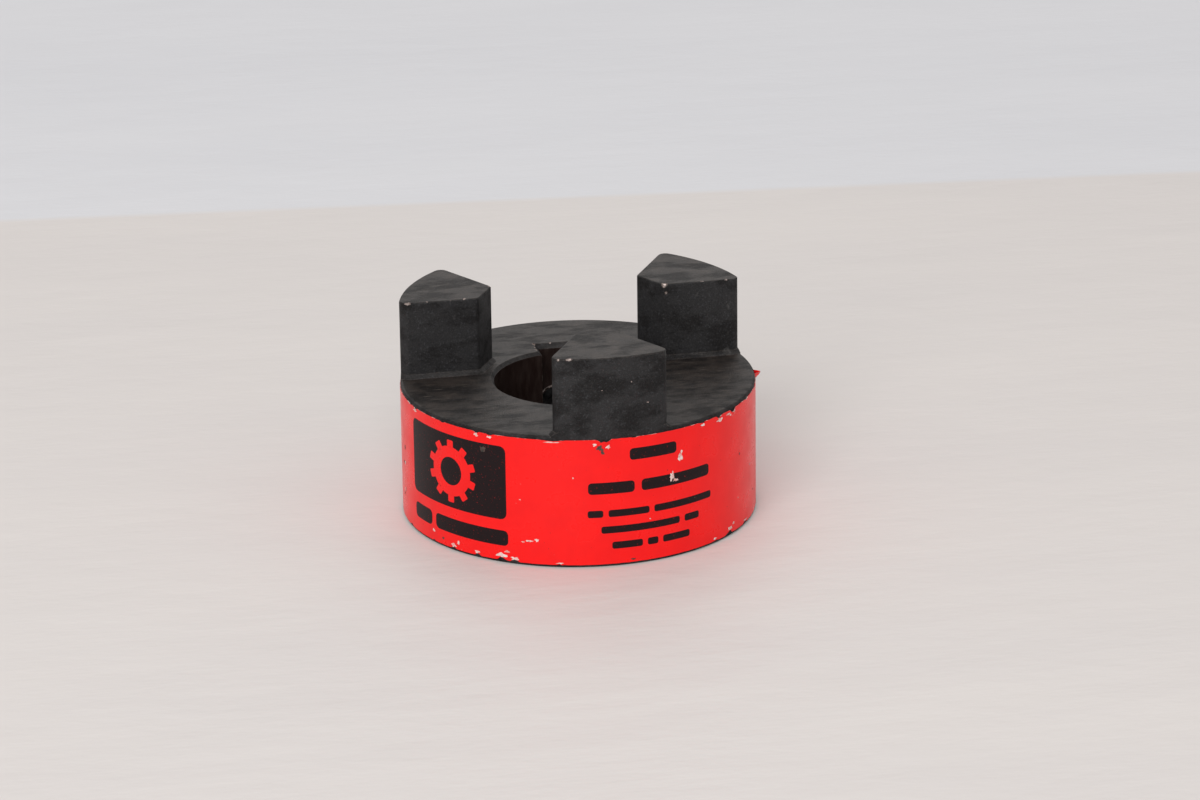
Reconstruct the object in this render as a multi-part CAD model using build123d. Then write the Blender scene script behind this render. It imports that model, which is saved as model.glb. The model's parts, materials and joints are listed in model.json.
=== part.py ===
from build123d import *
import math
import os

# One half of a three-jaw shaft coupling, in millimetres.
# The origin is on the bore axis at the back face, +Z runs towards the jaws,
# and the keyway with its set screw lies along +Y, opposite the front jaw.

# Body
HUB_DIAMETER = 53.6
BODY_LENGTH = 20.6
RIM_BREAK = 0.4

# Jaws
JAW_COUNT = 3
JAW_HEIGHT = 12.0
LEG_SLOT = 9.5            # thickness of the spider leg that fits beside each jaw
TIP_SETBACK = 2.0         # land left on the face between the bore and a jaw's tip
JAW_FOOT = 0.6            # sloped foot where flanks and tip meet the face
HEEL_ROUND = 1.2          # upright corner between a flank and the outer wall
TIP_ROUND = 0.8           # upright corner between a flank and the tip

# Bore and keyway
BORE_DIAMETER = 25.4
KEYWAY_WIDTH = 6.35
KEYWAY_DEPTH = 2.9        # from the bore wall to the keyway's roof
MOUTH_CHAMFER = 0.5
KEYWAY_MOUTH_CHAMFER = 0.7

# Set screw and its tapped hole over the keyway
SCREW_DIAMETER = 6.35
SCREW_LENGTH = 7.94
SCREW_SUNK = 1.3          # from the rim down to the screw's outer end
SCREW_END_CHAMFER = 0.5
SCREW_CLEARANCE = 0.05    # radial, between the thread crests and the hole's wall
SOCKET_ACROSS_FLATS = 3.175
SOCKET_DEPTH = 3.0
SOCKET_MOUTH_CHAMFER = 0.25
CUP_DIAMETER = 3.2
CUP_ANGLE = 118.0
HOLE_COUNTERSINK = 0.4

# Printed label wrapped round the body
LABEL_THICKNESS = 0.12
LABEL_LOWER_MARGIN = 0.4
LABEL_UPPER_MARGIN = 0.5
LABEL_GAP = 24.0          # along the rim, clear of the set screw's hole

CUT_OVERRUN = 2.0         # how far a cutting tool runs past the face it cuts
PROUD = 0.02              # a jaw's plan stands past the rim by this, and the hub's wall trims it

hub_radius = HUB_DIAMETER / 2
bore_radius = BORE_DIAMETER / 2
keyway_roof = bore_radius + KEYWAY_DEPTH
screw_height = BODY_LENGTH / 2
screw_outer_end = hub_radius - SCREW_SUNK
jaw_pitch = 360 / JAW_COUNT
total_height = BODY_LENGTH + JAW_HEIGHT


def cylinder_up(radius, bottom, top):
    """A cylinder on the bore axis between two heights."""
    return extrude(Plane.XY.offset(bottom) * Circle(radius), amount=top - bottom)


def splayed(outline, height, rise):
    """The outline at the given height plus rise, splayed outwards at 45 degrees down or up to the height."""
    run = abs(rise)
    wide = offset(outline, amount=run, kind=Kind.ARC)
    direction = (0, 0, 1) if rise > 0 else (0, 0, -1)
    return extrude(Plane.XY.offset(height) * wide, amount=run, dir=direction, taper=45)


def jaw_outline():
    """Plan of one jaw along +X: flanks parallel to the two spider legs, a flat tip and a back just past the rim."""
    leg_angle = math.radians(jaw_pitch / 4)
    tip = bore_radius + TIP_SETBACK
    back = hub_radius + PROUD

    def half_width(x):
        return x * math.tan(leg_angle) - LEG_SLOT / 2 / math.cos(leg_angle)

    wedge = make_face(Polyline(
        (tip, half_width(tip)),
        (back, half_width(back)),
        (back, -half_width(back)),
        (tip, -half_width(tip)),
        close=True,
    ))
    outline = wedge & Circle(back)
    heels = outline.vertices().sort_by(Axis.X)[-2:]
    outline = fillet(heels, HEEL_ROUND)
    tips = outline.vertices().sort_by(Axis.X)[:2]
    return fillet(tips, TIP_ROUND)


def make_jaw():
    """One jaw with its sloped foot, carried down into the body."""
    outline = jaw_outline()
    root = BODY_LENGTH - RIM_BREAK - CUT_OVERRUN
    column = extrude(Plane.XY.offset(root) * outline, amount=total_height + CUT_OVERRUN - root)
    wide = offset(outline, amount=JAW_FOOT, kind=Kind.ARC)
    plinth = extrude(Plane.XY.offset(root) * wide, amount=BODY_LENGTH - root)
    return column + plinth + splayed(outline, BODY_LENGTH, JAW_FOOT)


def make_open_space():
    """All that is cut away between and around the jaws, down to the face, and the break along its rim."""
    reach = hub_radius + CUT_OVERRUN
    space = cylinder_up(reach, BODY_LENGTH, total_height + CUT_OVERRUN)
    rim = cylinder_up(reach, BODY_LENGTH - RIM_BREAK, BODY_LENGTH)
    kept = Cone(hub_radius, hub_radius - RIM_BREAK, RIM_BREAK)
    space += rim - Pos(0, 0, BODY_LENGTH - RIM_BREAK / 2) * kept
    jaw = make_jaw()
    for index in range(JAW_COUNT):
        space -= Rot(0, 0, index * jaw_pitch - 90) * jaw
    return space


def make_bore_cut():
    """The bore and its keyway, with the chamfers of both at both faces."""
    bore = cylinder_up(bore_radius, -CUT_OVERRUN, BODY_LENGTH + CUT_OVERRUN)
    bore_outline = Circle(bore_radius)
    bore += splayed(bore_outline, BODY_LENGTH, -MOUTH_CHAMFER)
    bore += splayed(bore_outline, 0, MOUTH_CHAMFER)
    keyway_outline = Pos(0, keyway_roof / 2) * Rectangle(KEYWAY_WIDTH, keyway_roof)
    keyway = extrude(
        Plane.XY.offset(-CUT_OVERRUN) * keyway_outline,
        amount=BODY_LENGTH + 2 * CUT_OVERRUN,
    )
    keyway += splayed(keyway_outline, BODY_LENGTH, -KEYWAY_MOUTH_CHAMFER)
    keyway += splayed(keyway_outline, 0, KEYWAY_MOUTH_CHAMFER)
    return bore + keyway


def radial_plane(distance):
    """Plane square to the set screw's axis, at a distance from the bore axis."""
    return Plane(origin=(0, distance, screw_height), x_dir=(1, 0, 0), z_dir=(0, 1, 0))


def make_screw_hole():
    """The tapped hole from the keyway's roof out through the rim, with its countersink."""
    radius = SCREW_DIAMETER / 2 + SCREW_CLEARANCE
    start = keyway_roof - CUT_OVERRUN
    hole = extrude(radial_plane(start) * Circle(radius), amount=hub_radius + CUT_OVERRUN - start)
    sink_floor = hub_radius - HOLE_COUNTERSINK
    sink_height = HOLE_COUNTERSINK + CUT_OVERRUN
    sink = extrude(radial_plane(sink_floor) * Circle(radius), amount=sink_height, taper=-45)
    return hole + sink


def make_hub():
    """The one-piece sintered hub: body, jaws, bore, keyway and tapped hole."""
    blank = cylinder_up(hub_radius, 0, total_height)
    blank = chamfer(blank.edges().sort_by(Axis.Z)[0], RIM_BREAK)
    return blank - make_open_space() - make_bore_cut() - make_screw_hole()


def make_set_screw():
    """Cup-point socket set screw, its threads left as the plain cylinder of their crests."""
    inner_end = screw_outer_end - SCREW_LENGTH
    blank = extrude(radial_plane(inner_end) * Circle(SCREW_DIAMETER / 2), amount=SCREW_LENGTH)
    blank = chamfer(blank.edges().filter_by(GeomType.CIRCLE), SCREW_END_CHAMFER)
    socket_circle = SOCKET_ACROSS_FLATS / math.sqrt(3)
    socket_outline = RegularPolygon(socket_circle, 6)
    socket = extrude(radial_plane(screw_outer_end) * socket_outline, amount=-SOCKET_DEPTH)
    mouth = extrude(
        radial_plane(screw_outer_end) * Circle(socket_circle + SOCKET_MOUTH_CHAMFER),
        amount=-2 * SOCKET_MOUTH_CHAMFER,
        taper=45,
    )
    cup_depth = CUP_DIAMETER / 2 / math.tan(math.radians(CUP_ANGLE / 2))
    cup = radial_plane(inner_end + cup_depth / 2) * Cone(CUP_DIAMETER / 2, 0, cup_depth)
    return blank - socket - mouth - cup


def make_label():
    """The label's strip, wrapped round the body with its two ends either side of the set screw."""
    bottom = LABEL_LOWER_MARGIN
    top = BODY_LENGTH - LABEL_UPPER_MARGIN
    ring = cylinder_up(hub_radius + LABEL_THICKNESS, bottom, top)
    ring -= cylinder_up(hub_radius, bottom - CUT_OVERRUN, top + CUT_OVERRUN)
    half_gap = LABEL_GAP / 2 / hub_radius
    reach = hub_radius + CUT_OVERRUN
    far = reach / math.cos(half_gap)
    gap_outline = make_face(Polyline(
        (0, 0),
        (far * math.sin(half_gap), far * math.cos(half_gap)),
        (-far * math.sin(half_gap), far * math.cos(half_gap)),
        close=True,
    ))
    gap = extrude(Plane.XY.offset(bottom - CUT_OVERRUN) * gap_outline, amount=BODY_LENGTH + CUT_OVERRUN)
    return ring - gap


os.makedirs("parts", exist_ok=True)
for name, shape in {
    "hub": make_hub(),
    "set_screw": make_set_screw(),
    "label": make_label(),
}.items():
    shape.label = name
    export_step(shape, f"parts/{name}.step")
    print(name, round(shape.volume, 2), shape.bounding_box())
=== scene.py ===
# %% [markdown]
# # A jaw coupling hub, made to look real
# One half of a flexible shaft coupling: a blackened sintered iron hub with three jaws, a set
# screw over its keyway, and a red wrap label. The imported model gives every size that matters,
# so this lesson only adds what a solid model leaves out: rounded edges, threads, dents, print,
# paper edges and the finishes. Everything is in metres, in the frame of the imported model.

# %% Load the fixed frame
import json
import math
import random
import bmesh
import bpy
from mathutils import Matrix, Vector, noise


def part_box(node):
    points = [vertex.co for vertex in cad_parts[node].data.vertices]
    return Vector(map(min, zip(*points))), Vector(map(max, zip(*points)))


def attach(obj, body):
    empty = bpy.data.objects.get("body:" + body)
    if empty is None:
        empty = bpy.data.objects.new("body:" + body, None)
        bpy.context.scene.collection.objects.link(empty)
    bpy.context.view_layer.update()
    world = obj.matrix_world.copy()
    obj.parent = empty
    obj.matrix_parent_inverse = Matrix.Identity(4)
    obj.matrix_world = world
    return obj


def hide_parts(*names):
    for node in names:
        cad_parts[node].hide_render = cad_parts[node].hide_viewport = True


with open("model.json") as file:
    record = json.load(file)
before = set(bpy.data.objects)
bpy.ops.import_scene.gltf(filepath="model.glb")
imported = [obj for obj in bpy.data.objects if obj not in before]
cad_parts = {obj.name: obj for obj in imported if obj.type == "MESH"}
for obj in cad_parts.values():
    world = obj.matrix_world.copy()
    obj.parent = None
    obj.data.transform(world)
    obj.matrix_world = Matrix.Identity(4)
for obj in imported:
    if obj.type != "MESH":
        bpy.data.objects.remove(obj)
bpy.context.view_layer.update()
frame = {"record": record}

MM = 0.001

# %% [markdown]
# ## Sizes
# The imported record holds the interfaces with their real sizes, and a node's box gives its place.
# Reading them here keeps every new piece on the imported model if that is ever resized. Only sizes
# that no mount or box holds are written out, each once.

# %% Read the sizes
mounts = {mount["name"]: mount for mount in frame["record"]["mounts"]}
hub_low, hub_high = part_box("hub")
screw_low, screw_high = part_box("set_screw")
label_low, label_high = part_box("label")

hub_radius = hub_high.x
total_height = hub_high.z
face_height = mounts["spider_face"]["pos_m"][2]
bore_radius = mounts["bore"]["dims"]["r_mm"] * MM
keyway_roof = mounts["keyway"]["pos_m"][1]
screw_radius = screw_high.x
screw_outer_end = screw_high.y
screw_inner_end = screw_low.y
screw_height = (screw_low.z + screw_high.z) / 2
label_radius = -label_low.y
label_bottom = label_low.z
label_top = label_high.z
label_half_angle = math.pi - math.acos(label_high.y / label_radius)

KEYWAY_WIDTH = 6.35 * MM
JAW_COUNT = 3
LEG_SLOT = 9.5 * MM
TIP_SETBACK = 2.0 * MM
JAW_FOOT = 0.6 * MM
HEEL_ROUND = 1.2 * MM
TIP_ROUND = 0.8 * MM
RIM_BREAK = 0.4 * MM
BORE_MOUTH = 0.5 * MM
KEYWAY_MOUTH = 0.7 * MM
HOLE_CLEARANCE = 0.05 * MM
THREAD_PITCH = 1.27 * MM
OVERRUN = 2.0 * MM
TURN_STEPS = 192
print("hub", round(hub_radius / MM, 3), "face", round(face_height / MM, 3))

# %% [markdown]
# ## Camera
# The object is small and was looked at from three quarters of a metre through a long lens, a
# little above the face, with the front jaw turned slightly to the right. A camera is a position
# on a sphere round the object, then three small turns of its own: pan, tilt and roll.

# %% Place the camera
CAMERA_AZIMUTH = math.radians(-10.8)
CAMERA_ELEVATION = math.radians(19.69)
CAMERA_DISTANCE = 0.7656
CAMERA_AIM = Vector((0, 0, 0.016))
CAMERA_PAN = math.radians(0.249)
CAMERA_TILT = math.radians(0.05)
CAMERA_ROLL = math.radians(-0.84)
LENS_MM = 151.45


def place_camera():
    """A long lens on a sphere round the hub, then turned about its own axes."""
    data = bpy.data.cameras.new("camera")
    data.sensor_width = 36
    data.lens = LENS_MM
    camera = bpy.data.objects.new("camera", data)
    bpy.context.scene.collection.objects.link(camera)
    back = Vector((
        math.sin(CAMERA_AZIMUTH) * math.cos(CAMERA_ELEVATION),
        -math.cos(CAMERA_AZIMUTH) * math.cos(CAMERA_ELEVATION),
        math.sin(CAMERA_ELEVATION),
    ))
    turn = (-back).to_track_quat("-Z", "Y").to_matrix()
    turn = turn @ Matrix.Rotation(-CAMERA_PAN, 3, "Y")
    turn = turn @ Matrix.Rotation(CAMERA_TILT, 3, "X")
    turn = turn @ Matrix.Rotation(CAMERA_ROLL, 3, "Z")
    camera.matrix_world = Matrix.Translation(CAMERA_AIM + back * CAMERA_DISTANCE) @ turn.to_4x4()
    bpy.context.scene.camera = camera
    return camera


camera = place_camera()
bpy.context.scene.view_settings.view_transform = "Standard"
print("camera at", [round(value, 4) for value in camera.location])

# %% [markdown]
# ## Hand tools
# A few helpers stand for what a modeller's hands do: leave edit mode, pick one object, pick the
# faces that pass a test, cut one shape with another. Each selects in code, because every
# operator acts on whatever is selected.

# %% Helpers for selecting and applying


def only(piece):
    """Select and activate one object, in object mode."""
    if bpy.context.object and bpy.context.object.mode != "OBJECT":
        bpy.ops.object.mode_set(mode="OBJECT")
    bpy.ops.object.select_all(action="DESELECT")
    piece.select_set(True)
    bpy.context.view_layer.objects.active = piece


def leave():
    """Go back to object mode."""
    bpy.ops.object.mode_set(mode="OBJECT")


def take_all():
    """In edit mode, select everything."""
    bpy.ops.mesh.select_all(action="SELECT")


def edit(piece, kind="VERT"):
    """Open one object for editing with nothing selected."""
    only(piece)
    bpy.ops.object.mode_set(mode="EDIT")
    bpy.ops.mesh.select_mode(type=kind)
    bpy.ops.mesh.select_all(action="DESELECT")


def pick_faces(piece, test):
    """In edit mode, select the faces whose centre and normal pass a test, and count them."""
    mesh = bmesh.from_edit_mesh(piece.data)
    bpy.ops.mesh.select_all(action="DESELECT")
    found = [face for face in mesh.faces if test(face.calc_center_median(), face.normal)]
    for face in found:
        face.select_set(True)
    bmesh.update_edit_mesh(piece.data)
    return len(found)


def close_up(piece, distance=1e-6):
    """Merge doubled points and point every face outwards."""
    edit(piece)
    take_all()
    bpy.ops.mesh.remove_doubles(threshold=distance)
    bpy.ops.mesh.delete_loose()
    take_all()
    bpy.ops.mesh.normals_make_consistent(inside=False)
    leave()


def apply_modifier(piece, kind, **settings):
    """Add one modifier with its settings and apply it at once."""
    only(piece)
    modifier = piece.modifiers.new(kind.lower(), kind)
    for name, value in settings.items():
        setattr(modifier, name, value)
    bpy.ops.object.modifier_apply(modifier=modifier.name)


def cut(piece, tool, operation="DIFFERENCE", materials="INDEX"):
    """Cut, join or trim a piece with a tool, and throw the tool away.

    With materials="TRANSFER" the new faces take the tool's own material.
    """
    apply_modifier(
        piece, "BOOLEAN", operation=operation, object=tool, solver="EXACT", material_mode=materials,
    )
    bpy.data.objects.remove(tool, do_unlink=True)


def extrude_up(height):
    """In edit mode, extrude the selected faces straight up, or down if the height is negative."""
    bpy.ops.mesh.extrude_region_move(TRANSFORM_OT_translate={"value": (0, 0, height)})


def bake_place(piece):
    """Move a piece's place and turn into its mesh, so that its object sits at the origin."""
    only(piece)
    bpy.ops.object.transform_apply(location=True, rotation=True, scale=True)


def smooth(piece, degrees=30):
    """Shade smooth, except over edges sharper than the angle."""
    only(piece)
    bpy.ops.object.shade_smooth_by_angle(angle=math.radians(degrees))


# %% [markdown]
# ## Drawing outlines
# Both turned and extruded shapes start as an outline. By hand it is one point, extruded again
# and again to the next corner and closed at the end. Round corners are arcs from a formula.

# %% Helpers for outlines


def draw_line(name, points):
    """An open line through the points, drawn by extruding one point along it."""
    bpy.ops.object.select_all(action="DESELECT")
    bpy.ops.mesh.primitive_plane_add(size=MM)
    piece = bpy.context.object
    piece.name = name
    edit(piece)
    take_all()
    bpy.ops.mesh.merge(type="CENTER")
    bpy.ops.transform.translate(value=points[0])
    for last, following in zip(points, points[1:]):
        step = Vector(following) - Vector(last)
        bpy.ops.mesh.extrude_vertices_move(TRANSFORM_OT_translate={"value": step})
    leave()
    return piece


def trace(name, points):
    """A closed outline through the points, filled with one face."""
    piece = draw_line(name, points)
    edit(piece)
    take_all()
    bpy.ops.mesh.edge_face_add()
    leave()
    return piece


def turned(name, section, steps=TURN_STEPS):
    """A solid of revolution about the bore axis from a section of (radius, height) points."""
    piece = trace(name, [(radius, 0, height) for radius, height in section])
    edit(piece)
    take_all()
    bpy.ops.mesh.delete(type="ONLY_FACE")
    take_all()
    bpy.ops.mesh.spin(steps=steps, angle=2 * math.pi, center=(0, 0, 0), axis=(0, 0, 1))
    leave()
    close_up(piece)
    return piece


def arc(centre, radius, start, end, steps):
    """Points on an arc between two angles."""
    angles = [start + (end - start) * step / steps for step in range(steps + 1)]
    return [(centre[0] + radius * math.cos(a), centre[1] + radius * math.sin(a)) for a in angles]


# %% [markdown]
# ## The hub's blank
# The real hub is iron powder pressed in a die, sintered, and steam-treated black. Here it starts
# as a plain turned ring as tall as the jaws, with the bore in it and its bottom corners eased.
# The spaces between the jaws are cut down from the top afterwards, so that each jaw's outer
# wall stays part of one and the same cylinder.

# %% Turn the blank


def eased_corner(radius, height, size, start):
    """A quarter round of a section, inside the corner at (radius, height), from a start angle."""
    quarter = math.pi / 2
    centre = (
        radius - size * (math.cos(start) + math.cos(start + quarter)),
        height - size * (math.sin(start) + math.sin(start + quarter)),
    )
    return arc(centre, size, start, start + quarter, 4)


def make_blank():
    """The ring, a little taller than the jaws: bore wall, eased back face and outer wall."""
    tall = total_height + OVERRUN / 2
    section = [
        (bore_radius, tall),
        (bore_radius, BORE_MOUTH),
        (bore_radius + BORE_MOUTH, 0),
        *eased_corner(hub_radius, 0, RIM_BREAK, -math.pi / 2),
        (hub_radius, face_height - RIM_BREAK),
        (hub_radius, face_height + JAW_FOOT),
        (hub_radius, tall),
    ]
    return turned("hub_casting", section)


hub = make_blank()
print("blank faces", len(hub.data.polygons))

# %% [markdown]
# ## One jaw
# A jaw's plan follows from the rubber spider that it drives: each flank is parallel to the
# middle of a spider leg, half a leg's thickness away. The tip is flat, the upright corners are
# rounded by the die, a sloped foot runs along flanks and tip, and tumbling has rounded the top
# edges. One jaw is traced, raised, inset for its foot, raised again, and inset in small steps
# for its rounded top. A bevel could round the top too, but insets of a known size keep the short
# edges of the round corners from crossing. The jaw is then copied round.

# %% Model a jaw and copy it
WALL_MARGIN = 0.02 * MM
TOP_ROUND = 0.22 * MM
ROUND_STEPS = 4


def jaw_plan(grown):
    """The plan of a jaw along +X, grown outwards by a distance, as closed (x, y) points."""
    lean = math.pi / (2 * JAW_COUNT)
    side = LEG_SLOT / 2 - grown
    tip = bore_radius + TIP_SETBACK - grown
    back = hub_radius + grown + WALL_MARGIN
    along = Vector((math.cos(lean), math.sin(lean)))
    inward = Vector((math.sin(lean), -math.cos(lean)))
    heel = HEEL_ROUND + grown
    reach = math.sqrt((back - heel) ** 2 - (side + heel) ** 2)
    heel_centre = along * reach + inward * (side + heel)
    tip_round = TIP_ROUND + grown
    tip_x = tip + tip_round
    tip_centre = (tip_x, (tip_x * math.sin(lean) - side - tip_round) / math.cos(lean))
    flank_angle = math.atan2(-inward.y, -inward.x)
    heel_angle = math.atan2(heel_centre.y, heel_centre.x)
    half = arc(tip_centre, tip_round, math.pi, flank_angle, 6)
    half += arc(heel_centre, heel, flank_angle, heel_angle, 8)
    rim = arc((0, 0), back, heel_angle, -heel_angle, 20)[1:-1]
    return half + rim + [(x, -y) for x, y in reversed(half)]


def round_over(size):
    """In edit mode, raise the selected cap through the steps of a quarter round."""
    angles = [math.pi / 2 * step / ROUND_STEPS for step in range(ROUND_STEPS + 1)]
    for near, far in zip(angles, angles[1:]):
        bpy.ops.mesh.inset(thickness=size * (math.cos(near) - math.cos(far)), depth=0)
        rise = size * (math.sin(far) - math.sin(near))
        bpy.ops.transform.translate(value=(0, 0, rise))


def make_jaw():
    """A jaw with a sloped foot and a rounded top, reaching below the face."""
    root = face_height - RIM_BREAK - OVERRUN
    jaw = trace("jaw", [(x, y, root) for x, y in jaw_plan(JAW_FOOT)])
    edit(jaw, "FACE")
    take_all()
    extrude_up(face_height - root)
    bpy.ops.mesh.inset(thickness=JAW_FOOT, depth=0)
    bpy.ops.transform.translate(value=(0, 0, JAW_FOOT))
    extrude_up(total_height - TOP_ROUND - face_height - JAW_FOOT)
    round_over(TOP_ROUND)
    leave()
    close_up(jaw)
    return jaw


def turned_copy(piece, degrees):
    """A copy with its own mesh, turned about the bore axis."""
    copy = piece.copy()
    copy.data = piece.data.copy()
    bpy.context.scene.collection.objects.link(copy)
    copy.data.transform(Matrix.Rotation(math.radians(degrees), 4, "Z"))
    return copy


def make_open_space():
    """All that is cut away above the face, with the bore's mouth and the rim's break, less the jaws."""
    over = hub_radius + OVERRUN
    rim = eased_corner(hub_radius, face_height, RIM_BREAK, 0)
    section = [
        (0, face_height - BORE_MOUTH),
        (bore_radius, face_height - BORE_MOUTH),
        (bore_radius + BORE_MOUTH, face_height),
        *reversed(rim),
        (over, face_height - RIM_BREAK),
        (over, total_height + OVERRUN),
        (0, total_height + OVERRUN),
    ]
    space = turned("open_space", section)
    jaw = make_jaw()
    for index in range(JAW_COUNT):
        cut(space, turned_copy(jaw, index * 360 / JAW_COUNT - 90))
    bpy.data.objects.remove(jaw, do_unlink=True)
    return space


cut(hub, make_open_space())
print("hub with jaws", len(hub.data.polygons), "faces")

# %% [markdown]
# ## Keyway
# The keyway is broached square through the bore. Its cutter is a block whose two ends flare
# outwards, which leaves the small chamfer at each mouth.

# %% Cut the keyway


def make_keyway_tool():
    """A block through the bore with flared ends."""
    half = KEYWAY_WIDTH / 2
    corners = [(-half, 0), (half, 0), (half, keyway_roof), (-half, keyway_roof)]
    low = KEYWAY_MOUTH
    high = face_height - KEYWAY_MOUTH
    tool = trace("keyway_tool", [(x, y, low) for x, y in corners])
    edit(tool, "FACE")
    take_all()
    extrude_up(high - low)
    flare = KEYWAY_MOUTH + OVERRUN
    size = ((half + flare) / half, (keyway_roof + flare) / keyway_roof, 1)
    for level, way in ((high, 1), (low, -1)):
        pick_faces(tool, lambda centre, normal: abs(centre.z - level) < 0.01 * MM)
        extrude_up(way * flare)
        bpy.ops.transform.resize(value=size, center_override=(0, 0, 0))
    leave()
    close_up(tool)
    return tool


cut(hub, make_keyway_tool())
print("hub with keyway", len(hub.data.polygons), "faces")

# %% [markdown]
# ## Threads
# Both the set screw and its tapped hole need a real helix, since the mouth of the hole is seen
# from behind. The profile of one pitch is drawn as a line, and a Screw modifier winds it into a
# tube with an odd part of a turn to spare at each end, so that no corner lies on the planes of
# the two bisects, which then cut the tube to length and cap it. The same rod, a little larger,
# cuts the hole: its groove runs outwards from a wall that stays just clear of the screw's
# crests, so that the screw can travel without turning.

# %% Wind a threaded rod
THREAD_STEPS = 48
SPARE_TURN = 1.413
BISECT_REACH = 1e-8
GROOVE_DEPTH = 0.42 * MM


def laid_along_y(piece, start, height):
    """Lay a piece that stands on the origin along +Y, from a start and at a height."""
    piece.rotation_euler = (-math.pi / 2, 0, 0)
    piece.location = (0, start, height)
    bake_place(piece)


def threaded_rod(name, crest, root, start, end):
    """A closed threaded rod along +Z between two heights."""
    low = start - SPARE_TURN * THREAD_PITCH
    flank = THREAD_PITCH * 5 / 16
    profile = [
        (root, 0, low),
        (root, 0, low + THREAD_PITCH / 4),
        (crest, 0, low + THREAD_PITCH / 4 + flank),
        (crest, 0, low + THREAD_PITCH - flank),
        (root, 0, low + THREAD_PITCH),
    ]
    rod = draw_line(name, profile)
    turns = math.ceil((end - start) / THREAD_PITCH + 2 * SPARE_TURN)
    apply_modifier(
        rod, "SCREW", axis="Z", angle=2 * math.pi, screw_offset=THREAD_PITCH, iterations=turns,
        steps=THREAD_STEPS, render_steps=THREAD_STEPS, use_smooth_shade=False,
    )
    close_up(rod)
    for level, way in ((start, 1), (end, -1)):
        edit(rod)
        take_all()
        bpy.ops.mesh.bisect(
            plane_co=(0, 0, level), plane_no=(0, 0, way), use_fill=True, clear_inner=True,
            threshold=BISECT_REACH,
        )
        leave()
    close_up(rod)
    return rod


hole_radius = screw_radius + HOLE_CLEARANCE
hole_root = hole_radius + GROOVE_DEPTH
tap = threaded_rod("tap", hole_root, hole_radius, keyway_roof - OVERRUN / 2, hub_radius + OVERRUN)
print("tap", len(tap.data.polygons), "faces")

# %% Tap the hub
OUTER_SINK = 0.45 * MM
INNER_SINK = 0.30 * MM

iron = bpy.data.materials.new("steam_blackened_iron")
bare_iron = bpy.data.materials.new("bare_iron")
bore_iron = bpy.data.materials.new("broached_iron")
for material in (iron, bare_iron, bore_iron):
    hub.data.materials.append(material)


def sink_hole(level, depth, way, material):
    """Open one end of the screw hole with a 45 degree cone of so much depth, in a finish."""
    wide = hole_radius + depth + OVERRUN
    cone = turned("countersink", [(0, 0), (wide, wide), (0, wide)], 64)
    cone.data.materials.append(material)
    if way < 0:
        cone.data.transform(Matrix.Rotation(math.pi, 4, "X"))
    laid_along_y(cone, level + way * (OVERRUN - wide), screw_height)
    cut(hub, cone, materials="TRANSFER")


tap.data.materials.append(iron)
laid_along_y(tap, 0, screw_height)
cut(hub, tap)
sink_hole(hub_radius, OUTER_SINK, 1, iron)
sink_hole(keyway_roof, INNER_SINK, -1, bare_iron)
print("tapped hub", len(hub.data.polygons), "faces")

# %% [markdown]
# The tap has pushed a small burr up round the hole where it breaks into the keyway. It is a thin
# torus, made uneven by noise and joined to the hub, so that only its arcs in the keyway show.

# %% Raise the burr in the keyway
BURR_THICKNESS = 0.20 * MM
BURR_OFFSET = 0.08 * MM


def raise_burr():
    """A thin uneven ring of bright metal round the inner end of the hole."""
    bpy.ops.object.select_all(action="DESELECT")
    bpy.ops.mesh.primitive_torus_add(
        major_radius=hole_radius + INNER_SINK + BURR_OFFSET, minor_radius=BURR_THICKNESS,
        major_segments=96, minor_segments=10,
    )
    burr = bpy.context.object
    for point in burr.data.vertices:
        rise = noise.noise(point.co / MM * 1.9)
        point.co.z *= 1.2 + 1.3 * rise
    burr.data.materials.append(bare_iron)
    laid_along_y(burr, keyway_roof, screw_height)
    cut(hub, burr, "UNION", "TRANSFER")


raise_burr()
print("hub with burr", len(hub.data.polygons), "faces")

# %% [markdown]
# ## Nicks
# Hubs rattle together in a bin, so corners and edges carry small bright dents where the black
# skin has broken. Each dent is cut by a small pebble: an icosphere, stretched and shaken. The
# pebbles are cut one after another, since a single joined tool left stray bits behind. They
# carry the bare metal's material, and the Boolean modifier hands it to the faces that they cut.

# %% Dent the corners and edges
# Each dent: degrees round from the front, distance from the axis, height, and size, in mm.
NICKS = [
    (-100.8, 25.4, 32.70, 0.46),
    (-102.2, 22.5, 32.74, 0.24),
    (-104.4, 19.1, 32.74, 0.26),
    (-106.4, 17.0, 32.74, 0.30),
    (-100.0, 26.6, 31.2, 0.24),
    (-100.4, 26.4, 22.0, 0.30),
    (-13.4, 26.85, 32.68, 0.46),
    (-16.8, 26.88, 32.70, 0.32),
    (-3.4, 27.00, 27.6, 0.25),
    (-0.6, 26.90, 32.78, 0.26),
    (6.1, 27.02, 28.7, 0.26),
    (11.5, 26.98, 25.2, 0.22),
    (18.9, 26.75, 32.72, 0.32),
    (108.5, 15.3, 32.70, 0.52),
    (107.9, 15.5, 31.2, 0.22),
    (103.4, 20.9, 32.75, 0.26),
    (101.2, 24.6, 32.74, 0.30),
    (100.3, 26.4, 32.70, 0.40),
    (-131.0, 15.3, 32.75, 0.30),
    (-140.0, 26.6, 32.70, 0.42),
    (139.0, 26.6, 32.70, 0.34),
    (172.0, 26.8, 20.7, 0.30),
    (-165.0, 26.85, 20.6, 0.24),
    (166.0, 26.9, 13.5, 0.26),
    (-61.0, 26.85, 20.7, 0.24),
    (48.0, 26.85, 20.7, 0.24),
    (-164.4, 14.12, 20.62, 0.30),
    (-165.5, 15.18, 20.63, 0.22),
    (-167.0, 16.63, 20.62, 0.32),
    (-175.8, 16.34, 20.66, 0.22),
]


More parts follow.
